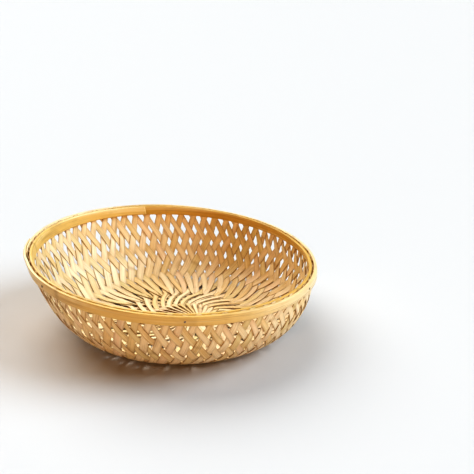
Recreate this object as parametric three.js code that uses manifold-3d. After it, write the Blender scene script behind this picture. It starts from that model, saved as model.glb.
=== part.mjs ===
// A shallow round basket of split bamboo: splint pairs woven across the base and up the wall,
// held at the rim between two bent hoops that are nailed together.
// Millimetres, +Z up. The basket stands on z = 0 with the middle of its rim over the origin.
import * as THREE from "three";
import { mergeVertices } from "three/addons/utils/BufferGeometryUtils.js";
import Module from "manifold-3d";

const wasm = await Module();
wasm.setup();

// ---- Overall sizes ----
const RIM_RADIUS = 110; // outer face of the outer hoop
const HEIGHT = 58; // table to the top of the hoops, half way along the rim
const BASE_RADIUS = 47; // flat part of the base
const WALL_BELLY = 3.4; // how square the wall's curve is near the base
const WALL_LEAN = 1.55; // how upright the wall stands near the rim

// ---- Hand-made irregularity ----
const BASE_SHIFT = 8; // the base sits this far along +X from the middle of the rim
const RIM_DROP = 8; // the rim is this much lower at +X and higher at -X

// ---- Splints ----
const SPLINT_PAIRS = 34;
const SPLINT_THICKNESS = 0.5;
const LAYER_GAP = 0.3; // clearance between two splints that cross
const SPLINT_COVER = 0.4; // share of the spacing that one splint covers where it changes layer
const NARROWEST_SPLINT = 1.9; // width where the splints fan past the middle
const MIDDLE_RADIUS = 20; // every splint passes the middle at this distance
const STACK_GAP = 0.15; // clearance between neighbours in the flat fan
const FAN_FALL = 11; // distance in which the fan's climb comes back to the flat weave
const DOME_MARGIN = 1.6; // the base's rise in the middle reaches this much past the fan's own climb
const WALL_SLANT = 22; // degrees from upright at which splints climb the wall

// ---- Hoops ----
const HOOP_HEIGHT = 7.2;
const OUTER_HOOP_THICKNESS = 2;
const INNER_HOOP_THICKNESS = 1.9;
const HOOP_CLEARANCE = 0.35; // between a hoop and the splints
const HOOP_EDGE = 0.5; // worn corner
const SPLINT_BELOW_RIM = 0.8; // splint ends stop this far under the top of the hoops
const LAP_LENGTH = 30; // the two ends of a hoop overlap this far
const LAP_TIP = 0.7; // thickness that each end is shaved down to
const LAP_GAP = 0.3;
const LAP_RAMP = 16; // length over which the outer end lifts off the hoop
const OUTER_LAP_AT = 190; // degrees round the rim; both hoops run clockwise from here
const INNER_LAP_AT = 122;

// ---- Brads ----
const BRADS = 6;
const FIRST_BRAD_AT = -82.5; // degrees round the rim
const BRAD_SHANK_RADIUS = 0.5;
const BRAD_HEAD_RADIUS = 0.9;
const BRAD_HEAD_HEIGHT = 0.5;
const BRAD_CLEARANCE = 0.3;
const BRAD_POINT_SHORT = 0.4; // the point ends this far inside the inner hoop's face
const BRAD_POINT_LENGTH = 1.2;
const BORE_BEYOND = 4; // the brads' bores are cut this far past the hoops
const AXIS_REACH = 10; // second point that gives a brad's line

// ---- Fineness ----
const TABLE_STEP = 0.25;
const STATION_STEP = 8;
const HOOP_STEP = 7.8; // length of one flat of a hoop
const PIN_SIDES = 10;

// ---- Values worked out from the sizes ----
const degrees = THREE.MathUtils.degToRad;
const layerPitch = SPLINT_THICKNESS + LAYER_GAP;
const weaveHalf = layerPitch / 2 + SPLINT_THICKNESS / 2;
const baseLevel = weaveHalf; // middle surface of the weave over the table
const wallRadius = RIM_RADIUS - OUTER_HOOP_THICKNESS - HOOP_CLEARANCE - weaveHalf;
const pairAngle = (2 * Math.PI) / SPLINT_PAIRS;
const wallSlant = degrees(WALL_SLANT);

// The fan: next to the middle each splint lies over one neighbour and under the other, so it climbs
// by one thickness and a gap in the distance from one neighbour's tangent point to the next.
const fanSlope = (SPLINT_THICKNESS + STACK_GAP) / (MIDDLE_RADIUS * Math.sin(pairAngle) * 0.97);
const fanReach =
  (NARROWEST_SPLINT / 2) / Math.tan(pairAngle / 2) + MIDDLE_RADIUS * Math.tan(pairAngle / 2) + 0.5;
const fanRise = fanSlope * fanReach;
const fanFoot = fanReach + FAN_FALL;
const smooth = (t) => {
  const c = Math.min(Math.max(t, 0), 1);
  return c * c * (3 - 2 * c);
};

// Height of a splint over the weave's middle at a distance x past the middle of its run.
function fanHeight(x) {
  const climb = Math.min(fanSlope * x, fanRise);
  return climb + (layerPitch / 2 - climb) * smooth((x - fanReach) / (fanFoot - fanReach));
}

function interpolate(xs, ys, x) {
  let low = 0;
  let high = xs.length - 1;
  while (high - low > 1) {
    const middle = (low + high) >> 1;
    if (xs[middle] <= x) low = middle;
    else high = middle;
  }
  return ys[low] + ((ys[high] - ys[low]) * (x - xs[low])) / (xs[high] - xs[low]);
}

// ---- The basket's middle surface ----
// Outside the flat base the wall is a superellipse between the base's edge and the rim. The table
// gives the radius and height for a distance measured out along the surface from the middle.
const meridian = { along: [0, BASE_RADIUS], radius: [0, BASE_RADIUS], height: [baseLevel, baseLevel] };
const WALL_SAMPLES = 600;
for (let i = 1; i <= WALL_SAMPLES; i++) {
  const rise = (i / WALL_SAMPLES) ** 3;
  const reach = (1 - (1 - rise) ** WALL_LEAN) ** (1 / WALL_BELLY);
  const radius = BASE_RADIUS + (wallRadius - BASE_RADIUS) * reach;
  const height = baseLevel + (HEIGHT - baseLevel) * rise;
  const last = meridian.along.length - 1;
  const step = Math.hypot(radius - meridian.radius[last], height - meridian.height[last]);
  meridian.along.push(meridian.along[last] + step);
  meridian.radius.push(radius);
  meridian.height.push(height);
}
const rimAlong = meridian.along.at(-1);

// The base rises in the middle, so that the lower half of the fan stays off the table.
function dome(radius) {
  const x = Math.sqrt(Math.max(radius ** 2 - MIDDLE_RADIUS ** 2, 0)) - DOME_MARGIN;
  return Math.max(fanHeight(Math.max(x, fanReach)) - layerPitch / 2, 0);
}

function surface(along) {
  const radius = interpolate(meridian.along, meridian.radius, along);
  return { radius, height: interpolate(meridian.along, meridian.height, along) + dome(radius) };
}

// A point in the plane of the meridian, moved off the surface along its normal. Positive is inwards.
function offSurface(along, offset) {
  const here = surface(along);
  const out = surface(Math.min(along + 0.5, rimAlong));
  const back = surface(along - 0.5);
  const onBase = here.radius < BASE_RADIUS;
  const run = onBase ? 1 : out.radius - back.radius;
  const rise = onBase ? 0 : out.height - back.height;
  const length = Math.hypot(run, rise);
  return {
    radius: here.radius - (rise / length) * offset,
    height: here.height + (run / length) * offset,
  };
}

// The same gentle warp goes over every piece, so fits stay as they are.
function place(radius, angle, height, target) {
  const up = height / HEIGHT;
  const x = radius * Math.cos(angle);
  target.push(
    x + BASE_SHIFT * (1 - up),
    radius * Math.sin(angle),
    height - RIM_DROP * up * (x / RIM_RADIUS),
  );
}

// ---- The path of one splint ----
// It runs straight past the middle, and where its slant falls to the wall's it keeps that slant.
const path = { x: [0], along: [MIDDLE_RADIUS], angle: [0], slant: [Math.PI / 2] };
for (let x = TABLE_STEP; path.along.at(-1) < rimAlong; x += TABLE_STEP) {
  const before = path.along.at(-1);
  const chord = Math.hypot(MIDDLE_RADIUS, x);
  const straight = Math.asin(MIDDLE_RADIUS / chord);
  const slant = Math.max(straight, wallSlant);
  path.x.push(x);
  if (slant > wallSlant) {
    path.along.push(chord);
    path.angle.push(Math.atan2(x, MIDDLE_RADIUS));
  } else {
    const radius = surface(before).radius;
    path.along.push(before + Math.cos(slant) * TABLE_STEP);
    path.angle.push(path.angle.at(-1) + (Math.sin(slant) / radius) * TABLE_STEP);
  }
  path.slant.push(slant);
}
const pathLength = interpolate(path.along, path.x, rimAlong - SPLINT_BELOW_RIM);
const crossings = path.angle.map((angle) => (2 * angle) / pairAngle);

// ---- Over and under ----
// Splints keep one layer inside a ring and change layer half way between two crossings. The rings
// are wide on the base and one crossing wide on the wall.
const crossingAt = (along) => interpolate(crossings, path.x, along);
const crossingsAtRim = interpolate(path.x, crossings, pathLength);
const firstChange = Math.floor(interpolate(path.along, crossings, BASE_RADIUS)) + 0.5;
const changes = [firstChange, firstChange + 2];
while (changes.at(-1) + 1 < crossingsAtRim - 1) changes.push(changes.at(-1) + 1);
const changeHalf = 0.5 - SPLINT_COVER;

function layer(x) {
  let height = fanHeight(x);
  for (const change of changes) {
    const start = crossingAt(change - changeHalf);
    const end = crossingAt(change + changeHalf);
    height *= 1 - 2 * Math.min(Math.max((x - start) / (end - start), 0), 1);
  }
  return height;
}

function stations() {
  const set = [fanReach / 2, fanReach, (fanReach + fanFoot) / 2, fanFoot];
  for (const change of changes) set.push(crossingAt(change - changeHalf), crossingAt(change + changeHalf));
  set.push(pathLength);
  set.sort((a, b) => a - b);
  const filled = [0];
  for (const x of set) {
    const from = filled.at(-1);
    const count = Math.max(1, Math.round((x - from) / STATION_STEP));
    for (let i = 1; i <= count; i++) filled.push(from + ((x - from) * i) / count);
  }
  return filled;
}

function splintWidth(x) {
  const radius = surface(interpolate(path.x, path.along, x)).radius;
  const slant = interpolate(path.x, path.slant, x);
  return Math.max(NARROWEST_SPLINT, SPLINT_COVER * pairAngle * radius * Math.cos(slant));
}

// Four corners of a splint's section: x along the path, negative past the middle on the far half.
function splintSection(x, turn) {
  const side = Math.sign(x) || 1;
  const reach = Math.abs(x);
  const along = interpolate(path.x, path.along, reach);
  const angle = interpolate(path.x, path.angle, reach);
  const slant = interpolate(path.x, path.slant, reach);
  const radius = surface(along).radius;
  const half = splintWidth(reach) / 2;
  const corners = [];
  for (const [across, level] of [[-half, -1], [half, -1], [half, 1], [-half, 1]]) {
    const outwards = radius + across * Math.sin(slant);
    const sideways = across * Math.cos(slant);
    const cornerAlong = Math.min(
      along + Math.hypot(outwards, sideways) - radius,
      rimAlong - SPLINT_BELOW_RIM / 2,
    );
    const turned = angle - Math.atan2(sideways, outwards);
    const lift = side * layer(reach) + (level * SPLINT_THICKNESS) / 2;
    const point = offSurface(cornerAlong, lift);
    place(point.radius, turn + side * turned, point.height, corners);
  }
  return corners;
}

// A closed body through sections of equal point counts, with both ends capped.
function loft(sections) {
  const sides = sections[0].length / 3;
  const faces = [];
  for (let i = 0; i + 1 < sections.length; i++) {
    for (let j = 0; j < sides; j++) {
      const a = i * sides + j;
      const b = i * sides + ((j + 1) % sides);
      faces.push(a, b, b + sides, a, b + sides, a + sides);
    }
  }
  const last = (sections.length - 1) * sides;
  for (let j = 1; j + 1 < sides; j++) {
    faces.push(0, j + 1, j, last, last + j, last + j + 1);
  }
  const geometry = new THREE.BufferGeometry();
  geometry.setAttribute("position", new THREE.Float32BufferAttribute(sections.flat(), 3));
  geometry.setIndex(faces);
  return geometry;
}

function signedVolume(geometry) {
  const p = geometry.attributes.position;
  const index = geometry.index;
  const [a, b, c] = [new THREE.Vector3(), new THREE.Vector3(), new THREE.Vector3()];
  let sum = 0;
  for (let i = 0; i < index.count; i += 3) {
    a.fromBufferAttribute(p, index.getX(i));
    b.fromBufferAttribute(p, index.getX(i + 1));
    c.fromBufferAttribute(p, index.getX(i + 2));
    sum += a.dot(b.cross(c)) / 6;
  }
  return sum;
}

function facingOut(geometry) {
  if (signedVolume(geometry) < 0) {
    const index = geometry.index.array;
    for (let i = 0; i < index.length; i += 3) [index[i], index[i + 1]] = [index[i + 1], index[i]];
  }
  return geometry;
}

// ---- Hoops ----
// A flat band bent clockwise round the rim, following the slope of the wall; side is 1 outside the
// splints and -1 inside. Both ends are shaved thin, and the last stretch lies over the first.
function hoop({ side, thickness, lapAt }) {
  const bottom = rimAlong - HOOP_HEIGHT;
  const edge = Math.min(HOOP_EDGE, LAP_TIP / 3);
  const lapTurn = LAP_LENGTH / RIM_RADIUS;
  const rampTurn = LAP_RAMP / RIM_RADIUS;
  const sections = [];
  const total = 2 * Math.PI + lapTurn;
  const steps = Math.ceil((total * RIM_RADIUS) / HOOP_STEP);
  for (let i = 0; i <= steps; i++) {
    const turn = (total * i) / steps;
    const shavedStart = Math.min(turn / lapTurn, 1);
    const shavedEnd = Math.min((total - turn) / lapTurn, 1);
    const share = Math.min(shavedStart, shavedEnd);
    const here = LAP_TIP + (thickness - LAP_TIP) * share;
    const onLap = Math.max(turn - 2 * Math.PI, 0) / lapTurn;
    const lift =
      (LAP_TIP + LAP_GAP) * smooth((turn - 2 * Math.PI + rampTurn) / rampTurn) +
      (thickness - LAP_TIP) * onLap;
    const near = hoopFace + lift;
    const far = near + here;
    const section = [];
    const outline = [
      [bottom, near],
      [bottom, far - edge],
      [bottom + edge, far],
      [rimAlong - edge, far],
      [rimAlong, far - edge],
      [rimAlong, near],
    ];
    for (const [along, depth] of outline) {
      const point = offSurface(along, -side * depth);
      place(point.radius, degrees(lapAt) - turn, point.height, section);
    }
    sections.push(section);
  }
  return facingOut(loft(sections));
}

// ---- Cutting ----
function solid(geometry) {
  const bare = new THREE.BufferGeometry();
  bare.setAttribute("position", geometry.getAttribute("position"));
  bare.setIndex(geometry.index);
  const merged = mergeVertices(bare, 1e-4);
  return new wasm.Manifold(
    new wasm.Mesh({
      numProp: 3,
      vertProperties: new Float32Array(merged.attributes.position.array),
      triVerts: new Uint32Array(merged.index.array),
    }),
  );
}

function geometryOf(manifold) {
  const mesh = manifold.getMesh();
  const geometry = new THREE.BufferGeometry();
  geometry.setAttribute("position", new THREE.BufferAttribute(mesh.vertProperties, 3));
  geometry.setIndex(new THREE.BufferAttribute(mesh.triVerts, 1));
  return geometry;
}

// ---- Brads ----
const hoopFace = weaveHalf + HOOP_CLEARANCE;
const bradAlong = rimAlong - HOOP_HEIGHT / 2;

// A pin turned about the line through the hoops, from one depth to another off the middle surface.
function pin(angle, profile) {
  const middle = [];
  const outside = [];
  const seat = offSurface(bradAlong, 0);
  const away = offSurface(bradAlong, -AXIS_REACH);
  place(seat.radius, angle, seat.height, middle);
  place(away.radius, angle, away.height, outside);
  const origin = new THREE.Vector3(...middle);
  const axis = new THREE.Vector3(...outside).sub(origin).normalize();
  const points = profile.map(([radius, depth]) => new THREE.Vector2(radius, depth));
  const geometry = new THREE.LatheGeometry(points, PIN_SIDES);
  geometry.deleteAttribute("normal");
  geometry.deleteAttribute("uv");
  const merged = mergeVertices(geometry, 1e-4);
  merged.applyQuaternion(
    new THREE.Quaternion().setFromUnitVectors(new THREE.Vector3(0, 1, 0), axis),
  );
  merged.translate(origin.x, origin.y, origin.z);
  return merged;
}

const bradInside = -(hoopFace + INNER_HOOP_THICKNESS - BRAD_POINT_SHORT);
const headSeat = hoopFace + OUTER_HOOP_THICKNESS + BRAD_CLEARANCE;
const bradProfile = [
  [0, bradInside],
  [BRAD_SHANK_RADIUS * 0.6, bradInside + BRAD_POINT_LENGTH * 0.4],
  [BRAD_SHANK_RADIUS, bradInside + BRAD_POINT_LENGTH],
  [BRAD_SHANK_RADIUS, headSeat],
  [BRAD_HEAD_RADIUS, headSeat],
  [BRAD_HEAD_RADIUS, headSeat + BRAD_HEAD_HEIGHT * 0.5],
  [BRAD_HEAD_RADIUS * 0.65, headSeat + BRAD_HEAD_HEIGHT],
  [0, headSeat + BRAD_HEAD_HEIGHT],
];
const boreRadius = BRAD_SHANK_RADIUS + BRAD_CLEARANCE;
const boreProfile = [
  [0, -(hoopFace + INNER_HOOP_THICKNESS + BORE_BEYOND)],
  [boreRadius, -(hoopFace + INNER_HOOP_THICKNESS + BORE_BEYOND)],
  [boreRadius, headSeat + BORE_BEYOND],
  [0, headSeat + BORE_BEYOND],
];
const bradAngles = Array.from(
  { length: BRADS },
  (_, i) => degrees(FIRST_BRAD_AT) + (i * 2 * Math.PI) / BRADS,
);
const bores = bradAngles.map((angle) => solid(facingOut(pin(angle, boreProfile))));

function bored(geometry) {
  let body = solid(geometry);
  for (const bore of bores) {
    if (body.intersect(bore).volume() > 0) body = body.subtract(bore);
  }
  return geometryOf(body);
}

// ---- Materials ----
const bamboo = (color, roughness) => new THREE.MeshStandardMaterial({ color, roughness, metalness: 0 });
const splintBamboo = bamboo(0xe6c88c, 0.6);
const outerBamboo = bamboo(0xdcb878, 0.55);
const innerBamboo = bamboo(0xc08a3c, 0.5);
const steel = new THREE.MeshStandardMaterial({ color: 0x8a8078, roughness: 0.45, metalness: 0.9 });

// ---- Assembly ----
const basket = new THREE.Group();

function add(name, geometry, material) {
  const mesh = new THREE.Mesh(geometry, material);
  mesh.name = name;
  basket.add(mesh);
}

const halfStations = stations();
const allStations = [...halfStations.slice(1).reverse().map((x) => -x), ...halfStations];
for (let i = 0; i < SPLINT_PAIRS; i++) {
  const sections = allStations.map((x) => splintSection(x, i * pairAngle));
  const number = String(i + 1).padStart(2, "0");
  add(`splint_pair_${number}`, bored(facingOut(loft(sections))), splintBamboo);
}
add(
  "outer_hoop",
  bored(hoop({ side: 1, thickness: OUTER_HOOP_THICKNESS, lapAt: OUTER_LAP_AT })),
  outerBamboo,
);
add(
  "inner_hoop",
  bored(hoop({ side: -1, thickness: INNER_HOOP_THICKNESS, lapAt: INNER_LAP_AT })),
  innerBamboo,
);
bradAngles.forEach((angle, i) => {
  add(`brad_${i + 1}`, facingOut(pin(angle, bradProfile)), steel);
});

export default basket;
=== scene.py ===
"""Looks for a shallow round basket of woven split bamboo, its rim held between two bent hoops.

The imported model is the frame. Splints, hoops and brads are worked out here as surfaces on the same
middle surface of the weave as the model's, and replace its plain stand-ins.
"""

import math

import bpy
import numpy as np
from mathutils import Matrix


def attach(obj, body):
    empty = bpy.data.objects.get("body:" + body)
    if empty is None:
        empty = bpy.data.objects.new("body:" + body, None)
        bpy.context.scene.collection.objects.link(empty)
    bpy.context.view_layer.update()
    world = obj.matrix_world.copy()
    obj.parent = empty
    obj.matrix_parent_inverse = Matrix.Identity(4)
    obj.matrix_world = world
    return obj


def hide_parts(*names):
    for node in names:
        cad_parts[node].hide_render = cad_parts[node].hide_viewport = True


bl_info = {
    "name": "Bamboo proofing basket",
    "version": (1, 0, 0),
    "blender": (4, 5, 0),
    "location": "View3D > Sidebar > Basket",
    "description": "Weaves the splints, bends the hoops and drives the brads of a bamboo basket",
    "category": "Object",
}

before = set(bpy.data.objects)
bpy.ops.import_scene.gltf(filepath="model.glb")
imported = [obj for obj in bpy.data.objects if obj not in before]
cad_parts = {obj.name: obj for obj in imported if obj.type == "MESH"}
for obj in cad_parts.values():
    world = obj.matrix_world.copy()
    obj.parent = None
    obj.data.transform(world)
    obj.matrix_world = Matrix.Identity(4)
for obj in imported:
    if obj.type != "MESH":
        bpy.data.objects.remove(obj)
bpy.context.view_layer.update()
MM = 0.001
BODY = "root"
SEED = 20

# ---- Fineness ----

BASE_SAMPLES = 400
WALL_SAMPLES = 1500
PATH_STEP = 0.1 * MM
SLANT_SMOOTHING = 10  # steps of the path on either side over which a bend is rounded
SPLINT_STATIONS = 300
HOOP_STATIONS = 900
BRAD_SIDES = 24
DOME_RINGS = 7

# ---- Fixed shares of the forms ----

UNDER_WEAVE = 2.7  # splint thicknesses between the table and the middle surface
EYE_FORWARD = 0.6  # share of the eye's shift that goes towards the front
SLANT_REACHED = (0.15, 0.07, 0.14)  # share of the way into a ring at which its slant is reached
SLANT_HELD = (0.96, 0.97)  # share of a ring's outer edge up to which its slant holds
STACK_FADE = 9 * MM  # distance past the inner ring in which a pair's splints come apart
EYE_CROSSING = 4 * MM  # distance from a splint's middle in which it goes from under to over
PAIR_CHANGE = 0.32  # share of the spacing over which a pair changes layer
SINGLE_CHANGE = 0.44  # the same for a single splint
FAN_TILT = 0.34  # how steeply splints lean on each other in the fan

# Share of even spacing between a pair's splints, against the way across the middle ring.
SPREAD_AT = (-0.11, 0.11, 0.37, 0.64, 0.78)
SPREAD = (0.12, 0.55, 0.8, 0.92, 1)

# Share of the way from the splints' width in the fan to their width on the base, ring by ring.
WIDENING = (0, 0.27, 0.42, 0.75, 1)


# ---- Sizes and colours that a user would change ----


def length(name, description, millimetres):
    """A size property in metres."""
    return bpy.props.FloatProperty(
        name=name,
        description=description,
        default=millimetres * MM,
        precision=5,
        subtype="DISTANCE",
        unit="LENGTH",
    )


def angle(name, description, degrees):
    """An angle property."""
    return bpy.props.FloatProperty(
        name=name,
        description=description,
        default=math.radians(degrees),
        subtype="ANGLE",
        unit="ROTATION",
    )


def colour(name, description, rgb):
    """A colour property, scene linear."""
    return bpy.props.FloatVectorProperty(
        name=name, description=description, default=rgb, size=3, subtype="COLOR", min=0, max=1
    )


class BasketShape(bpy.types.PropertyGroup):
    """The basket's overall form."""

    rim_radius: length("Rim radius", "Outer face of the outer hoop", 110)
    height: length("Height", "Table to the top of the hoops, half way along the rim", 58)
    base_radius: length("Base radius", "Flat part of the base", 47)
    belly: bpy.props.FloatProperty(
        name="Belly", description="How square the wall's curve is near the base", default=3.4
    )
    lean: bpy.props.FloatProperty(
        name="Lean", description="How upright the wall stands near the rim", default=1.55
    )
    base_shift: length("Base shift", "How far the base sits along +X from the middle of the rim", 8)
    rim_drop: length("Rim drop", "How much lower the rim is at +X, and higher at -X", 8)
    weave_depth: length("Weave depth", "Middle surface of the weave to the outer hoop's face", 3.0)
    dome_rise: length("Dome rise", "How far the middle of the base rises off the table", 1.6)
    dome_radius: length("Dome radius", "Where that rise begins", 30)
    eye_shift: length("Eye shift", "How far the fan's eye is off the middle of the base", 8)
    eye_spread: length("Eye spread", "Distance within which splints bend towards the eye", 44)


class WeaveSettings(bpy.types.PropertyGroup):
    """The splints and the rings of the weave."""

    pairs: bpy.props.IntProperty(name="Pairs", description="Side-by-side pairs of splints", default=34)
    thickness: length("Thickness", "Thickness of a splint", 0.45)
    layer_gap: length("Layer gap", "Space between crossing splints", 0.25)
    eye_radius: length("Eye radius", "Distance at which splints pass the middle", 4.5)
    width_middle: length("Width at the middle", "Splint width in the fan", 3.1)
    width_base: length("Width on the base", "Splint width low on the wall", 5.95)
    width_rim: length("Width at the rim", "Splint width under the hoops", 4.35)
    fan_radius: length("Fan radius", "Where the fan of one layer ends", 28)
    inner_ring: length("Inner ring", "Outer edge of the ring of short slanted splints", 51)
    middle_ring: length("Middle ring", "Outer edge of the ring of long upright splints", 78)
    outer_ring: length("Outer ring", "Outer edge of the ring where the wall begins", 91)
    slant_inner: angle("Inner slant", "Slant of splints in the inner ring", 36)
    slant_middle: angle("Middle slant", "Slant of splints in the middle ring", 12)
    slant_outer: angle("Outer slant", "Slant of splints in the outer ring", 32)
    slant_wall: angle("Wall slant", "Slant of splints on the wall", 24)
    below_rim: length("Below the rim", "Splint ends stop this far under the hoops' top", 0.1)
    wander: length("Wander", "How far a splint strays sideways from its even path", 0.75)


class RimSettings(bpy.types.PropertyGroup):
    """The two hoops and the brads."""

    hoop_height: length("Hoop height", "Height of each hoop", 7.2)
    outer_thickness: length("Outer thickness", "Thickness of the outer hoop", 2.25)
    inner_thickness: length("Inner thickness", "Thickness of the inner hoop", 2.15)
    hoop_face: length("Hoop face", "Middle surface of the weave to either hoop", 0.75)
    lap_length: length("Lap length", "How far a hoop's ends overlap", 30)
    lap_tip: length("Lap tip", "Thickness each end is shaved down to", 0.7)
    lap_gap: length("Lap gap", "Space between the lapped ends", 0.3)
    lap_ramp: length("Lap ramp", "Length over which the outer end lifts off", 16)
    outer_lap_at: angle("Outer lap", "Where round the rim the outer hoop laps", 190)
    inner_lap_at: angle("Inner lap", "Where round the rim the inner hoop laps", 122)
    brads: bpy.props.IntProperty(name="Brads", description="Brads round the rim", default=6)
    first_brad_at: angle("First brad", "Where round the rim the first brad is", -82.5)
    brad_shank: length("Brad shank", "Shank radius", 0.5)
    brad_head: length("Brad head", "Head radius", 0.9)
    brad_head_height: length("Brad head height", "Height of the domed head", 0.5)


class BasketColours(bpy.types.PropertyGroup):
    """Colours of the bamboo and the brads."""

    pale: colour("Pale splint", "The palest splints", (0.86, 0.66, 0.41))
    golden: colour("Golden splint", "The yellower splints", (0.79, 0.55, 0.27))
    rosy: colour("Rosy splint", "The pinkish splints", (0.82, 0.58, 0.36))
    green: colour("Green splint", "The greenish splints", (0.76, 0.58, 0.30))
    # The outer hoop's golden stretch is painted shade round its front, which faces away from the lights;
    # pale_hoop is its colour elsewhere.
    outer_hoop: colour("Outer hoop", "The golden stretch of the outer hoop", (0.73, 0.48, 0.17))
    pale_hoop: colour("Pale hoop", "The outer hoop elsewhere", (0.80, 0.60, 0.34))
    # inner_hoop is the darker end of the inner hoop, painted shade at the back where its inner face turns
    # away from the lights.
    inner_hoop: colour("Inner hoop", "The darker end of the inner hoop", (0.58, 0.33, 0.06))
    fibre: colour("Fibre", "Dark fibres in the bamboo", (0.33, 0.18, 0.06))
    brad: colour("Brad", "The brads' dull steel", (0.42, 0.34, 0.26))


# ---- Curves and surfaces ----


def smooth(t):
    """0 below 0, 1 above 1, and 3t^2 - 2t^3 between."""
    t = np.clip(t, 0.0, 1.0)
    return t * t * (3 - 2 * t)


class Bowl:
    """The basket's middle surface, as a table of radius and height against distance from the middle.

    The base is flat but for a low dome, and the wall is a superellipse: with h the share of the
    height, the share of the way from the base's radius to the wall's is
    (1 - (1 - h)^lean)^(1 / belly). Samples are crowded where the wall begins.
    """

    def __init__(self, shape, weave):
        self.shape = shape
        level = weave.thickness * UNDER_WEAVE + weave.layer_gap
        wall = shape.rim_radius - shape.weave_depth
        rise = np.linspace(0, 1, WALL_SAMPLES) ** 3
        reach = (1 - (1 - rise) ** shape.lean) ** (1 / shape.belly)
        inner = np.linspace(0, shape.base_radius, BASE_SAMPLES, endpoint=False)
        self.radius = np.concatenate([inner, shape.base_radius + (wall - shape.base_radius) * reach])
        dome = shape.dome_rise * smooth(1 - inner / shape.dome_radius)
        self.height = np.concatenate([level + dome, level + (shape.height - level) * rise])
        steps = np.hypot(np.diff(self.radius), np.diff(self.height))
        self.along = np.concatenate([[0], np.cumsum(steps)])
        run = np.gradient(self.radius, self.along)
        climb = np.gradient(self.height, self.along)
        size = np.hypot(run, climb)
        self.normal_out = -climb / size
        self.normal_up = run / size
        self.rim = self.along[-1]

    def off(self, along, offset):
        """Radius and height of points moved off the surface along its normal; positive is inwards."""
        radius = np.interp(along, self.along, self.radius)
        height = np.interp(along, self.along, self.height)
        out = np.interp(along, self.along, self.normal_out)
        up = np.interp(along, self.along, self.normal_up)
        return radius + out * offset, height + up * offset

    def place(self, radius, turn, height):
        """Points in the frame: the base is shifted and the rim drops towards +X, in step with height,
        and the eye of the fan lies off the middle of the base, less and less out to eye_spread."""
        up = height / self.shape.height
        x = radius * np.cos(turn)
        eye = 1 - smooth(radius / self.shape.eye_spread)
        return np.stack(
            [
                x + self.shape.base_shift * (1 - up) + self.shape.eye_shift * eye,
                radius * np.sin(turn) - self.shape.eye_shift * EYE_FORWARD * eye,
                height - self.shape.rim_drop * up * (x / self.shape.rim_radius),
            ],
            axis=-1,
        )


def part_way(start, end, share):
    """The value a share of the way from one value to another."""
    return start * (1 - share) + end * share


class SplintPath:
    """The run of one splint from the middle to the rim: distance out, turn and slant against length.

    In the fan it is a straight chord that passes the middle at the eye's radius. Outside it the
    slant from upright holds inside each ring and bends at the ring's edge, rounded by a running
    mean, and the turn is the sum of tan(slant) / radius.
    """

    def __init__(self, bowl, weave):
        just_past_eye = weave.eye_radius + 1e-6
        self.along = np.arange(just_past_eye, bowl.rim, PATH_STEP)
        radius = np.interp(self.along, bowl.along, bowl.radius)
        chord = np.arcsin(np.clip(weave.eye_radius / self.along, 0, 1))
        fan, inner, middle = weave_rings(weave)
        rings = [
            (fan, np.arcsin(weave.eye_radius / fan)),
            (part_way(fan, inner, SLANT_REACHED[0]), weave.slant_inner),
            (inner * SLANT_HELD[0], weave.slant_inner),
            (part_way(inner, middle, SLANT_REACHED[1]), weave.slant_middle),
            (middle * SLANT_HELD[1], weave.slant_middle),
            (part_way(middle, weave.outer_ring, SLANT_REACHED[2]), weave.slant_outer),
            (weave.outer_ring, weave.slant_wall),
        ]
        outside = np.interp(radius, [r for r, _ in rings], [s for _, s in rings])
        kernel = np.hanning(2 * SLANT_SMOOTHING + 1)
        padded = np.pad(outside, SLANT_SMOOTHING, mode="edge")
        outside = np.convolve(padded, kernel / kernel.sum(), mode="valid")
        in_fan = self.along < fan
        self.slant = np.where(in_fan, chord, outside)
        turn = np.arccos(np.clip(weave.eye_radius / self.along, 0, 1))
        reach = np.sqrt(np.maximum(self.along**2 - weave.eye_radius**2, 0))
        edge = int(in_fan.sum()) - 1
        turned = np.cumsum(np.tan(self.slant) / radius * PATH_STEP)
        reached = np.cumsum(PATH_STEP / np.cos(self.slant))
        self.turn = np.where(in_fan, turn, turn[edge] + turned - turned[edge])
        self.reach = np.where(in_fan, reach, reach[edge] + reached - reached[edge])
        self.radius = radius


def weave_rings(weave):
    """Outer edges of the fan and of the inner and middle rings."""
    return weave.fan_radius, weave.inner_ring, weave.middle_ring


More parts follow.
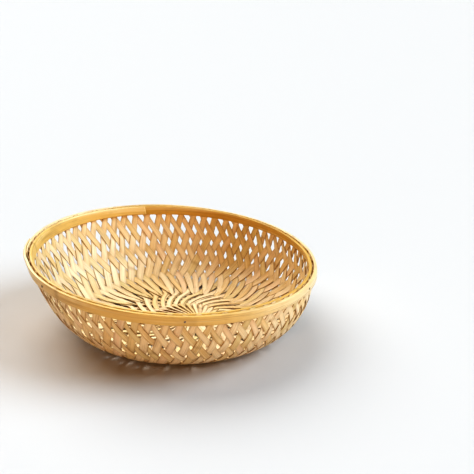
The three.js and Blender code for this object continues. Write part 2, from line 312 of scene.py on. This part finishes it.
class Weave:
    """Where each splint lies: side shift in its pair, width, and over or under at each crossing.

    Splints still cut into one another where many meet round the eye, and at some crossings further
    out.
    """

    def __init__(self, bowl, path, weave):
        self.bowl, self.path, self.weave = bowl, path, weave
        self.pair_angle = 2 * math.pi / weave.pairs
        self.single_angle = self.pair_angle / 2

        def crossing(radius, spacing):
            """The change half way between two crossings that is nearest to a radius."""
            return math.floor(2 * np.interp(radius, path.radius, path.turn) / spacing) + 0.5

        self.pair_changes = [
            crossing(weave.fan_radius, self.pair_angle),
            crossing(weave.inner_ring, self.pair_angle),
        ]
        first = crossing(weave.outer_ring, self.single_angle)
        last = 2 * path.turn[-1] / self.single_angle
        middle = crossing(weave.middle_ring, self.single_angle)
        self.single_changes = [middle, *np.arange(first, last, 1.0)]

    def spread(self, radius):
        """Share of even spacing between the two splints of a pair: stacked on the inner ring, side
        by side on the middle one and even on the wall."""
        _, inner, middle = weave_rings(self.weave)
        part = (radius - inner) / (middle - inner)
        return np.interp(part, SPREAD_AT, SPREAD)

    def width(self, radius):
        """A splint's width at a radius: it widens from the fan to the foot of the wall, then
        narrows towards the rim. Straight lines join the widths at the stops."""
        weave = self.weave
        fan, inner, middle = weave_rings(weave)
        rim = self.bowl.radius[-1]
        low, high = part_way(inner, middle, 0.33), part_way(inner, middle, 0.78)
        stops = [0.93 * fan, inner, low, high, weave.outer_ring, 0.96 * rim, rim]
        widths = weave.width_middle + (weave.width_base - weave.width_middle) * np.array(WIDENING)
        between = (weave.width_base + weave.width_rim) / 2
        return np.interp(radius, stops, [*widths, between, weave.width_rim])

    def layer(self, reach, radius, pair_phase, single_phase, member):
        """Height over the middle surface for the half that turns forwards, whose mirror image is the
        other half, and how far the pair's two splints are shifted apart where they are stacked.

        The sign flips at each change, over the open stretch between two crossings."""
        weave = self.weave
        stacked = 1 - smooth((radius - weave.inner_ring) / STACK_FADE)
        single = (weave.thickness + weave.layer_gap) / 2
        double = weave.thickness + weave.layer_gap / 2
        height = single + (double - single) * stacked
        for change in self.pair_changes:
            start = change - PAIR_CHANGE / 2
            height = height * (1 - 2 * smooth((pair_phase - start) / PAIR_CHANGE))
        for change in self.single_changes:
            start = change - SINGLE_CHANGE / 2
            height = height * (1 - 2 * smooth((single_phase - start) / SINGLE_CHANGE))
        height = height * np.tanh(reach / EYE_CROSSING)
        return height, member * stacked * double / 2


# Outline of a splint's section, as shares of half the width and half the thickness.
SPLINT_OUTLINE = np.array(
    [
        (-0.93, 1), (-0.4, 1), (0.4, 1), (0.93, 1), (1, 0.6), (1, -0.6),
        (0.93, -1), (0.4, -1), (-0.4, -1), (-0.93, -1), (-1, -0.6), (-1, 0.6),
    ]
)  # fmt: skip
# How much darker colour each point of that outline has: the cut edges' own, and painted shade where the
# gaps between splints fall dark.
SPLINT_CUT_EDGE_AND_GAP_SHADE = np.array([0.3, 0, 0, 0.3, 1, 1, 0.3, 0, 0, 0.3, 1, 1])
SPLINT_CREASES = (0, 3, 6, 9)

# Outline of a hoop's section, as shares of its height and of its thickness away from the splints.
HOOP_OUTLINE = np.array(
    [
        (0.03, 0), (0, 0.1), (0, 0.75), (0.03, 0.93), (0.09, 1), (0.3, 1.03), (0.5, 1.04),
        (0.7, 1.03), (0.91, 1), (0.97, 0.93), (1, 0.75), (1, 0.1), (0.97, 0), (0.5, 0),
    ]
)  # fmt: skip


def waves(rng, at, wavelengths, size):
    """A smooth wandering line: a sum of sines of random phase, one for each wavelength in metres."""
    total = np.zeros_like(at)
    for wavelength in wavelengths:
        total += np.sin(2 * math.pi * at / wavelength + rng.uniform(0, 2 * math.pi))
    return total * size / math.sqrt(len(wavelengths))


def splint_surface(woven, pair, member, rng):
    """Grid of points round and along one splint, with its length and width coordinates.

    A corner at distance y across the path, whose slant is b at radius r, lies y sin(b) further out
    and y cos(b) to the side. Each half is the other's mirror image, with the layers swapped.
    """
    bowl, path, weave = woven.bowl, woven.path, woven.weave
    whole = np.interp(bowl.rim - weave.below_rim, path.along, path.reach)
    shortest, longest = -0.8, 0.2
    ends = whole + rng.uniform(shortest, longest, 2) * MM
    run = np.linspace(-ends[0], ends[1], SPLINT_STATIONS)[:, None]
    half = np.where(run < 0, -1.0, 1.0)
    reach = np.abs(run)
    along = np.interp(reach, path.reach, path.along)
    turn = np.interp(reach, path.reach, path.turn)
    slant = np.interp(reach, path.reach, path.slant)
    radius = np.interp(along, bowl.along, bowl.radius)
    wander_from, wander_over = 15 * MM, 30 * MM
    settled = smooth((radius - wander_from) / wander_over)
    wander = waves(rng, run, wavelengths=(0.31, 0.13, 0.07, 0.045), size=weave.wander) * settled
    uneven = 0.05
    width = woven.width(radius) * (
        1 + rng.normal(0, uneven) + waves(rng, run, wavelengths=(0.2, 0.06), size=uneven)
    )
    share = woven.spread(radius) * woven.single_angle / 2
    shift = member * share * radius * np.cos(slant)
    across = SPLINT_OUTLINE[:, 0] * width / 2
    middle = shift + wander * half
    outwards = radius + (across * half + middle) * np.sin(slant)
    sideways = (across * half + middle) * np.cos(slant)
    corner_along = np.minimum(along + np.hypot(outwards, sideways) - radius, bowl.rim)
    corner_turn = turn - np.arctan2(sideways, outwards)
    path_turn = np.interp(corner_along, path.along, path.turn)
    pair_phase = (corner_turn + path_turn) / woven.pair_angle
    single_phase = (corner_turn + path_turn + member * woven.single_angle / 2) / woven.single_angle
    corner_radius = np.interp(corner_along, bowl.along, bowl.radius)
    height, in_pair = woven.layer(reach, corner_radius, pair_phase, single_phase, member)
    fan = 1 - smooth((radius - 0.8 * weave.fan_radius) / (0.4 * weave.fan_radius))
    tilt = -FAN_TILT * np.tanh(run / EYE_CROSSING) * across * half * fan
    cupped = waves(rng, run, wavelengths=(0.09, 0.05), size=0.05 * MM)
    lift = half * height + in_pair + tilt + cupped * settled
    thick = SPLINT_OUTLINE[:, 1] * weave.thickness / 2
    out, up = bowl.off(corner_along, lift + thick)
    points = bowl.place(out, pair * woven.pair_angle + half * corner_turn, up)
    lengthwise = np.broadcast_to(run, points.shape[:2])
    crosswise = np.broadcast_to(across, points.shape[:2])
    return points, lengthwise, crosswise


def hoop_surface(bowl, rim, side, thickness, lap_at, rng):
    """Grid of points round and along one hoop: a band that follows the wall, side 1 outside it.

    Its ends are shaved to thin tips, and the last stretch lifts by a tip's thickness and more as the
    start thickens, so that it lies over the start.
    """
    lap_turn = rim.lap_length / bowl.shape.rim_radius
    ramp_turn = rim.lap_ramp / bowl.shape.rim_radius
    total = 2 * math.pi + lap_turn
    turn = np.linspace(0, total, HOOP_STATIONS)[:, None]
    share = np.minimum(np.minimum(turn / lap_turn, 1), np.minimum((total - turn) / lap_turn, 1))
    here = rim.lap_tip + (thickness - rim.lap_tip) * share
    onto = np.maximum(turn - 2 * math.pi, 0) / lap_turn
    lift = (rim.lap_tip + rim.lap_gap) * smooth((turn - 2 * math.pi + ramp_turn) / ramp_turn)
    lift = lift + (thickness - rim.lap_tip) * onto
    length_along = turn * bowl.shape.rim_radius
    uneven = waves(rng, length_along, wavelengths=(0.23, 0.11, 0.045), size=0.16 * MM)
    bottom_wave = waves(rng, length_along, wavelengths=(0.3, 0.12), size=0.22 * MM)
    top_wave = waves(rng, length_along, wavelengths=(0.26, 0.1), size=0.12 * MM)
    bottom = bowl.rim - rim.hoop_height + bottom_wave
    top = bowl.rim + top_wave
    upwards, outwards = HOOP_OUTLINE.T
    along = bottom + (top - bottom) * upwards
    depth = rim.hoop_face + lift + (here + uneven * outwards * share) * outwards
    over = np.maximum(along - bowl.rim, 0)
    out, up = bowl.off(np.minimum(along, bowl.rim), -side * depth)
    points = bowl.place(out, lap_at - turn, up + over)
    lengthwise = np.broadcast_to(length_along, points.shape[:2])
    crosswise = np.broadcast_to(upwards * rim.hoop_height, points.shape[:2])
    return points, lengthwise, crosswise


def brad_surface(bowl, rim, turn):
    """Grid of points of one brad: a pointed shank and a domed head turned about a line through the
    hoops, at half their height. The head's radius goes with the cosine of an angle, and its height
    with the sine."""
    short_of_face, under_head = 0.5 * MM, 0.1 * MM
    point_half, point_whole = 0.5 * MM, 1.2 * MM
    head_edge = 0.2  # share of the head's height that is its upright edge
    inside = -(rim.hoop_face + rim.inner_thickness - short_of_face)
    seat = rim.hoop_face + rim.outer_thickness + under_head
    dome = np.linspace(0, math.pi / 2, DOME_RINGS)
    radii = [1e-6, rim.brad_shank * 0.6, rim.brad_shank, rim.brad_shank, rim.brad_head * 0.96]
    depths = [inside, inside + point_half, inside + point_whole, seat, seat]
    domed = head_edge + (1 - head_edge) * np.sin(dome)
    radii = np.concatenate([radii, rim.brad_head * np.maximum(np.cos(dome), 1e-3)])
    depths = np.concatenate([depths, seat + rim.brad_head_height * domed])
    middle_along = bowl.rim - rim.hoop_height / 2
    far_out = -10 * MM
    radius, height = bowl.off(np.array([middle_along] * 2), np.array([0, far_out]))
    ends = bowl.place(radius, turn, height)
    axis = (ends[1] - ends[0]) / np.linalg.norm(ends[1] - ends[0])
    side = np.cross(axis, (0, 0, 1))
    side /= np.linalg.norm(side)
    upward = np.cross(side, axis)
    round_turn = np.linspace(0, 2 * math.pi, BRAD_SIDES, endpoint=False)
    circle = np.cos(round_turn)[:, None] * side + np.sin(round_turn)[:, None] * upward
    points = ends[0] + depths[:, None, None] * axis + radii[:, None, None] * circle
    flat = np.zeros(points.shape[:2])
    return points, flat + depths[:, None], flat + radii[:, None]


def closed_mesh(name, points, lengthwise, crosswise, crease=()):
    """A mesh through a grid of points whose rows close on themselves, with both ends capped.

    The coordinates along and across go to the UV map. Lines along the grid whose number is in
    crease stay sharp."""
    rows, sides = points.shape[:2]
    index = np.arange(rows * sides).reshape(rows, sides)
    here, there = index[:-1], index[1:]
    quads = np.stack([here, np.roll(here, -1, 1), np.roll(there, -1, 1), there], -1).reshape(-1, 4)
    caps = [index[0][::-1].tolist(), index[-1].tolist()]
    middle = points.mean(axis=1, keepdims=True)
    volume = np.einsum(
        "ijk,ijk->ij",
        np.cross(points[:-1] - middle[:-1], np.roll(points, -1, 1)[:-1] - middle[:-1]),
        middle[1:] - middle[:-1],
    ).sum()
    if volume > 0:
        quads = quads[:, ::-1]
        caps = [cap[::-1] for cap in caps]
    mesh = bpy.data.meshes.new(name)
    mesh.from_pydata(points.reshape(-1, 3).tolist(), [], quads.tolist() + caps)
    corners = np.concatenate([quads.reshape(-1), np.array(caps).reshape(-1)])
    uv = np.stack([lengthwise.reshape(-1), crosswise.reshape(-1)], -1)[corners]
    layer = mesh.uv_layers.new(name="grain")
    layer.data.foreach_set("uv", uv.astype(np.float32).reshape(-1))
    mesh.polygons.foreach_set("use_smooth", np.ones(len(mesh.polygons), bool))
    if len(crease):
        ends = np.zeros(len(mesh.edges) * 2, np.int32)
        mesh.edges.foreach_get("vertices", ends)
        ends = ends.reshape(-1, 2)
        same_line = ends[:, 0] % sides == ends[:, 1] % sides
        sharp = same_line & np.isin(ends[:, 0] % sides, list(crease))
        mesh.edges.foreach_set("use_edge_sharp", sharp)
    mesh.update()
    return mesh


def piece(mesh, material, nodes):
    """Makes a finished object that rides with the basket and stands for its CAD nodes."""
    made = bpy.data.objects.new(mesh.name, mesh)
    bpy.context.scene.collection.objects.link(made)
    made.data.materials.append(material)
    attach(made, BODY)
    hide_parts(*nodes)


def store(mesh, name, values):
    """Stores a number on each vertex: tone gives the bamboo's colour, on the hoops with painted shade,
    origin moves its pattern, and edge is where its cut edges are darker, with painted shade along the gaps
    between splints."""
    attribute = mesh.attributes.new(name, "FLOAT", "POINT")
    filled = np.full(len(mesh.vertices), values) if np.ndim(values) == 0 else values
    attribute.data.foreach_set("value", np.asarray(filled, np.float32).reshape(-1))


# ---- Materials ----


class Value:
    """A socket that takes part in Python arithmetic: each operator adds a Math node."""

    def __init__(self, nodes, socket):
        self.nodes, self.socket = nodes, socket

    def _math(self, operation, *values):
        return self.nodes.add("Math", {"operation": operation}, *values)

    def __add__(self, other):
        return self._math("ADD", self, other)

    def __sub__(self, other):
        return self._math("SUBTRACT", self, other)

    def __rsub__(self, other):
        return self._math("SUBTRACT", other, self)

    def __mul__(self, other):
        return self._math("MULTIPLY", self, other)

    __radd__ = __add__
    __rmul__ = __mul__


class Nodes:
    """A new material's node tree, and one method that adds any node to it."""

    def __init__(self, name):
        self.material = bpy.data.materials.new(name)
        self.material.use_nodes = True
        self.tree = self.material.node_tree
        self.shader = self.tree.nodes["Principled BSDF"]

    def add(self, kind, settings=None, *inputs, output=0, **named):
        """Adds a node: settings first, then inputs in order or by name, and returns one output."""
        node = self.tree.nodes.new("ShaderNode" + kind)
        for key, value in (settings or {}).items():
            if key == "stops":
                self._stops(node.color_ramp, value)
            else:
                setattr(node, key, value)
        wanted = [(i, value) for i, value in enumerate(inputs)]
        wanted += [(key.replace("_", " "), value) for key, value in named.items()]
        for key, value in wanted:
            self.feed(node.inputs[key], value)
        return Value(self, node.outputs[output])

    def feed(self, socket, value):
        """Links a value to a socket, or sets the socket to a number or a list of numbers."""
        if isinstance(value, Value):
            self.tree.links.new(value.socket, socket)
        else:
            socket.default_value = value

    @staticmethod
    def _stops(ramp, stops):
        while len(ramp.elements) < len(stops):
            ramp.elements.new(0.5)
        for element, (position, rgb) in zip(ramp.elements, stops):
            element.position = position
            element.color = (*rgb, 1)

    def blend(self, amount, first, second):
        """Mixes two colours by an amount."""
        node = self.tree.nodes.new("ShaderNodeMix")
        node.data_type = "RGBA"
        self.feed(node.inputs[0], amount)
        for socket, value in ((node.inputs[6], first), (node.inputs[7], second)):
            self.feed(socket, value if isinstance(value, Value) else (*value, 1))
        return Value(self, node.outputs[2])

    def band(self, value, low, high):
        """0 below low, 1 above high, smooth between; the other way round where low is larger."""
        settings = {"interpolation_type": "SMOOTHSTEP"}
        return self.add("MapRange", settings, value, low, high, 0.0, 1.0)


PALE_STREAK = (0.95, 0.80, 0.52)
RUST = (0.20, 0.09, 0.035)


def bamboo(name, stops, fibre, roughness, streak_scale, node_spacing):
    """Split bamboo: fine dark fibres and pale streaks lengthwise, mottling, a joint of the cane now and
    then, and darker cut edges with painted shade along the gaps between splints. Its patterns follow
    the piece's own coordinates, in metres along and across, moved by its origin so that no two pieces
    match."""
    nodes = Nodes(name)
    grain = nodes.add("UVMap", {"uv_map": "grain"})
    own = nodes.add("Attribute", {"attribute_name": "tone"}, output=2)
    origin = nodes.add("Attribute", {"attribute_name": "origin"}, output=2)
    offset = nodes.add("CombineXYZ", None, origin * 37.0, origin * 11.0, origin * 5.0)

    def lengthwise(scale_along, scale_across, detail):
        """Noise drawn out along the piece, with this many features to the metre each way."""
        stretched = nodes.add(
            "VectorMath", {"operation": "MULTIPLY"}, grain, (scale_along, scale_across, 1.0)
        )
        moved = nodes.add("VectorMath", {"operation": "ADD"}, stretched, offset)
        settings = {"noise_dimensions": "3D"}
        return nodes.add("TexNoise", settings, Vector=moved, Scale=1.0, Detail=detail)

    fibres = lengthwise(scale_along=22, scale_across=2600 * streak_scale, detail=3.0)
    streaks = lengthwise(scale_along=9, scale_across=620 * streak_scale, detail=2.0)
    mottle = lengthwise(scale_along=60, scale_across=160, detail=2.0)
    base = nodes.add("ValToRGB", {"stops": stops}, own)
    dark = nodes.band(fibres, low=0.52, high=0.72)
    pale = nodes.band(streaks, low=0.5, high=0.68)
    dirty = nodes.band(mottle, low=0.5, high=0.75)
    coloured = nodes.blend(dark * 0.42, base, fibre)
    coloured = nodes.blend(pale * 0.35, coloured, PALE_STREAK)
    coloured = nodes.blend(dirty * 0.22, coloured, fibre)
    run = nodes.add("SeparateXYZ", None, grain)
    phase = nodes.add("Math", {"operation": "FRACT"}, run * (1 / node_spacing) + origin * 7.0)
    joint_width = 0.012  # share of the spacing between joints
    ring = nodes.band(nodes.add("Math", {"operation": "ABSOLUTE"}, phase - 0.5), joint_width, 0.0)
    coloured = nodes.blend(ring * 0.35, coloured, fibre)
    # The cut edges are darker, and the same darkening is painted shade along the gaps between splints.
    edge = nodes.add("Attribute", {"attribute_name": "edge"}, output=2)
    coloured = nodes.blend(edge * 0.8, coloured, fibre)
    nodes.feed(nodes.shader.inputs["Base Color"], coloured)
    nodes.feed(nodes.shader.inputs["Roughness"], roughness + 0.18 * dark - 0.1 * pale)
    relief = nodes.add(
        "Bump", None, 0.35, Distance=0.00022, Height=fibres + 0.6 * streaks + 0.8 * ring
    )
    nodes.feed(nodes.shader.inputs["Normal"], relief)
    return nodes.material


def dull_steel(name, rgb):
    """Slightly rusted steel."""
    nodes = Nodes(name)
    place = nodes.add("TexCoord", None, output=3)
    spots = nodes.add("TexNoise", None, Vector=place, Scale=1400.0, Detail=3.0)
    rust = nodes.band(spots, low=0.48, high=0.62)
    nodes.feed(nodes.shader.inputs["Base Color"], nodes.blend(rust, rgb, RUST))
    nodes.feed(nodes.shader.inputs["Roughness"], 0.38 + 0.35 * rust)
    nodes.feed(nodes.shader.inputs["Metallic"], 0.9 - 0.7 * rust)
    return nodes.material


# ---- Operators ----


def basket_bowl():
    """The basket's middle surface at the scene's sizes."""
    scene = bpy.context.scene
    return Bowl(scene.basket_shape, scene.basket_weave)


class BASKET_OT_weave_splints(bpy.types.Operator):
    """Weaves the pairs of splints across the base and up the wall"""

    bl_idname = "basket.weave_splints"
    bl_label = "Weave splints"

    def execute(self, context):
        colours = context.scene.basket_colours
        weave = context.scene.basket_weave
        bowl = basket_bowl()
        woven = Weave(bowl, SplintPath(bowl, weave), weave)
        rng = np.random.default_rng(SEED)
        stops = [
            (0.0, colours.green),
            (0.2, colours.golden),
            (0.45, colours.pale),
            (0.8, colours.pale),
            (1.0, colours.rosy),
        ]
        material = bamboo(
            "splint_bamboo", stops, colours.fibre, roughness=0.5, streak_scale=1.0, node_spacing=0.24
        )
        for pair in range(weave.pairs):
            for member, letter in ((-1, "a"), (1, "b")):
                surface = splint_surface(woven, pair, member, rng)
                name = f"splint_{pair + 1:02d}{letter}"
                mesh = closed_mesh(name, *surface, crease=SPLINT_CREASES)
                own = rng.uniform(0.0, 1.0)
                drift = waves(rng, surface[1], wavelengths=(0.3, 0.17), size=0.07)
                store(mesh, "tone", np.clip(own + drift, 0, 1))
                store(mesh, "origin", rng.uniform(0, 1))
                # edge: darker cut edges, with painted shade along the gaps between splints.
                store(mesh, "edge", np.broadcast_to(SPLINT_CUT_EDGE_AND_GAP_SHADE, surface[1].shape))
                piece(mesh, material, [f"splint_pair_{pair + 1:02d}"])
        return {"FINISHED"}


class BASKET_OT_bend_outer_hoop(bpy.types.Operator):
    """Bends the outer hoop round the rim"""

    bl_idname = "basket.bend_outer_hoop"
    bl_label = "Bend outer hoop"

    def execute(self, context):
        rim = context.scene.basket_rim
        colours = context.scene.basket_colours
        rng = np.random.default_rng(SEED + 1)
        surface = hoop_surface(basket_bowl(), rim, 1, rim.outer_thickness, rim.outer_lap_at, rng)
        mesh = closed_mesh("outer_hoop_band", *surface)
        along = surface[1] / surface[1].max()
        # Painted shade: the hoop is darker and more golden in a stretch round the front, which faces away
        # from the key and the window, and paler elsewhere.
        painted_shade_at, painted_shade_reach = 0.78, 0.14
        golden = np.exp(-(((along - painted_shade_at) / painted_shade_reach) ** 2))
        uneven = waves(rng, surface[1], wavelengths=(0.33, 0.19, 0.08), size=0.12)
        store(mesh, "tone", np.clip(0.9 - golden + uneven, 0, 1))
        store(mesh, "origin", 0.5)
        stops = [(0.0, colours.outer_hoop), (1.0, colours.pale_hoop)]
        material = bamboo(
            "outer_hoop_bamboo", stops, colours.fibre, roughness=0.34, streak_scale=0.55, node_spacing=0.31
        )
        piece(mesh, material, ["outer_hoop"])
        return {"FINISHED"}


class BASKET_OT_bend_inner_hoop(bpy.types.Operator):
    """Bends the inner hoop round the inside of the rim"""

    bl_idname = "basket.bend_inner_hoop"
    bl_label = "Bend inner hoop"

    def execute(self, context):
        rim = context.scene.basket_rim
        colours = context.scene.basket_colours
        rng = np.random.default_rng(SEED + 2)
        surface = hoop_surface(basket_bowl(), rim, -1, rim.inner_thickness, rim.inner_lap_at, rng)
        mesh = closed_mesh("inner_hoop_band", *surface)
        # Painted shade: the inner hoop is darkest at the back just past its lap, where its inner face
        # turns away from the lights, and lightens round the right towards the front, with a step in tone
        # at the lap.
        along = surface[1] / surface[1].max()
        uneven = waves(rng, surface[1], wavelengths=(0.33, 0.19, 0.08), size=0.1)
        store(mesh, "tone", np.clip(along + uneven, 0, 1))
        store(mesh, "origin", 0.5)
        stops = [(0.0, colours.inner_hoop), (0.6, colours.outer_hoop)]
        material = bamboo(
            "inner_hoop_bamboo", stops, colours.fibre, roughness=0.34, streak_scale=0.55, node_spacing=0.29
        )
        piece(mesh, material, ["inner_hoop"])
        return {"FINISHED"}


class BASKET_OT_drive_brads(bpy.types.Operator):
    """Drives the brads through the hoops"""

    bl_idname = "basket.drive_brads"
    bl_label = "Drive brads"

    def execute(self, context):
        rim = context.scene.basket_rim
        bowl = basket_bowl()
        material = dull_steel("brad_steel", context.scene.basket_colours.brad)
        for i in range(rim.brads):
            turn = rim.first_brad_at + i * 2 * math.pi / rim.brads
            mesh = closed_mesh(f"brad_nail_{i + 1}", *brad_surface(bowl, rim, turn))
            piece(mesh, material, [f"brad_{i + 1}"])
        return {"FINISHED"}


class BASKET_OT_set_stage(bpy.types.Operator):
    """Sets the floor, the lights and the camera"""

    bl_idname = "basket.set_stage"
    bl_label = "Set stage"

    def execute(self, context):
        scene = context.scene
        self.floor()
        self.backdrop()
        self.lights(scene)
        self.camera(scene)
        scene.view_settings.view_transform = "Standard"
        scene.view_settings.look = "Very High Contrast"
        return {"FINISHED"}

    def floor(self):
        """A wide square of pale matt paper on the table's level."""
        mesh = bpy.data.meshes.new("floor")
        half = 6.0
        corners = [(-half, -half, 0), (half, -half, 0), (half, half, 0), (-half, half, 0)]
        mesh.from_pydata(corners, [], [(0, 1, 2, 3)])
        floor = bpy.data.objects.new("floor", mesh)
        bpy.context.scene.collection.objects.link(floor)
        nodes = Nodes("floor_paper")
        nodes.shader.inputs["Base Color"].default_value = (0.60, 0.565, 0.545, 1)
        nodes.shader.inputs["Roughness"].default_value = 0.9
        mesh.materials.append(nodes.material)

    def backdrop(self):
        """A pale wall all round, seen only by the camera, so that it keeps no light off the basket.

        Its grid is a turn of a circle by two heights."""
        radius, height, sides = 5.9, 5.0, 128
        turn = np.linspace(0, 2 * math.pi, sides, endpoint=False)
        circle = np.stack([radius * np.cos(turn), radius * np.sin(turn), np.zeros(sides)], -1)
        low = np.arange(sides)
        next_low = np.roll(low, -1)
        quads = np.stack([low, low + sides, next_low + sides, next_low], -1)
        mesh = bpy.data.meshes.new("backdrop")
        mesh.from_pydata(np.concatenate([circle, circle + (0, 0, height)]).tolist(), [], quads.tolist())
        wall = bpy.data.objects.new("backdrop", mesh)
        bpy.context.scene.collection.objects.link(wall)
        for ray in ("diffuse", "glossy", "transmission", "volume_scatter", "shadow"):
            setattr(wall, f"visible_{ray}", False)
        nodes = Nodes("backdrop_paper")
        nodes.shader.inputs["Base Color"].default_value = (0, 0, 0, 1)
        nodes.shader.inputs["Specular IOR Level"].default_value = 0
        nodes.shader.inputs["Emission Color"].default_value = (0.565, 0.562, 0.56, 1)
        nodes.shader.inputs["Emission Strength"].default_value = 1
        mesh.materials.append(nodes.material)

    def lights(self, scene):
        """A cool key from the right, a broad window behind on the left, a warm bounce in front, and
        very little light from all round."""
        world = bpy.data.worlds.new("studio")
        scene.world = world
        world.use_nodes = True
        background = world.node_tree.nodes["Background"]
        background.inputs["Color"].default_value = (1.0, 0.85, 0.64, 1)
        background.inputs["Strength"].default_value = 0.04
        self.sun("key", (0.65, 0.83, 1.0), azimuth=0, elevation=36, spread=44, strength=2.45)
        self.sun("window", (0.96, 1.0, 1.0), azimuth=126, elevation=50, spread=60, strength=2.1)
        self.sun("bounce", (1.0, 0.70, 0.44), azimuth=-90, elevation=16, spread=60, strength=1.05)

    def sun(self, name, rgb, azimuth, elevation, spread, strength):
        """Adds a distant soft light. Angles are in degrees, the azimuth from +X towards +Y."""
        light = bpy.data.lights.new(name, "SUN")
        light.angle = math.radians(spread)
        light.energy = strength
        light.color = rgb
        made = bpy.data.objects.new(name, light)
        bpy.context.scene.collection.objects.link(made)
        made.rotation_euler = (math.radians(90 - elevation), 0, math.radians(azimuth + 90))

    def camera(self, scene):
        """The camera looks down at the rim's middle from the front, a little to its right."""
        elevation = math.radians(21.24)
        distance = 0.7609
        focal = 75.95
        sensor = 36.0
        aside = -0.1368
        above = 0.0337
        forward = np.array([0, math.cos(elevation), -math.sin(elevation)])
        up = np.array([0, math.sin(elevation), math.cos(elevation)])
        right = np.array([1, 0, 0])
        scale = sensor / focal * distance
        rim_middle = np.array([0, 0, scene.basket_shape.height])
        at = rim_middle - forward * distance - right * aside * scale + up * above * scale
        lens = bpy.data.cameras.new("camera")
        lens.lens = focal
        lens.sensor_width = sensor
        lens.clip_start = 0.01
        camera = bpy.data.objects.new("camera", lens)
        camera.location = at
        camera.rotation_euler = (math.pi / 2 - elevation, 0, 0)
        scene.collection.objects.link(camera)
        scene.camera = camera


STEPS = (
    BASKET_OT_weave_splints,
    BASKET_OT_bend_outer_hoop,
    BASKET_OT_bend_inner_hoop,
    BASKET_OT_drive_brads,
    BASKET_OT_set_stage,
)


class BASKET_PT_sidebar(bpy.types.Panel):
    """Lists the basket's sizes, colours and steps"""

    bl_idname = "BASKET_PT_sidebar"
    bl_label = "Basket"
    bl_space_type = "VIEW_3D"
    bl_region_type = "UI"
    bl_category = "Basket"

    def draw(self, context):
        scene = context.scene
        for group in (
            scene.basket_shape,
            scene.basket_weave,
            scene.basket_rim,
            scene.basket_colours,
        ):
            box = self.layout.box()
            for name in group.bl_rna.properties.keys():
                if name not in {"rna_type", "name"}:
                    box.prop(group, name)
        for step in STEPS:
            self.layout.operator(step.bl_idname)


GROUPS = {
    "basket_shape": BasketShape,
    "basket_weave": WeaveSettings,
    "basket_rim": RimSettings,
    "basket_colours": BasketColours,
}


def register():
    """Registers the property groups, the operators and the panel."""
    for group in GROUPS.values():
        bpy.utils.register_class(group)
    for name, group in GROUPS.items():
        setattr(bpy.types.Scene, name, bpy.props.PointerProperty(type=group))
    for step in STEPS:
        bpy.utils.register_class(step)
    bpy.utils.register_class(BASKET_PT_sidebar)


def unregister():
    """Undoes register, in the opposite order."""
    bpy.utils.unregister_class(BASKET_PT_sidebar)
    for step in reversed(STEPS):
        bpy.utils.unregister_class(step)
    for name in GROUPS:
        delattr(bpy.types.Scene, name)
    for group in GROUPS.values():
        bpy.utils.unregister_class(group)


def main():
    """Makes the basket step by step."""
    register()
    bpy.ops.basket.weave_splints()
    bpy.ops.basket.bend_outer_hoop()
    bpy.ops.basket.bend_inner_hoop()
    bpy.ops.basket.drive_brads()
    bpy.ops.basket.set_stage()


if __name__ == "__main__":
    main()
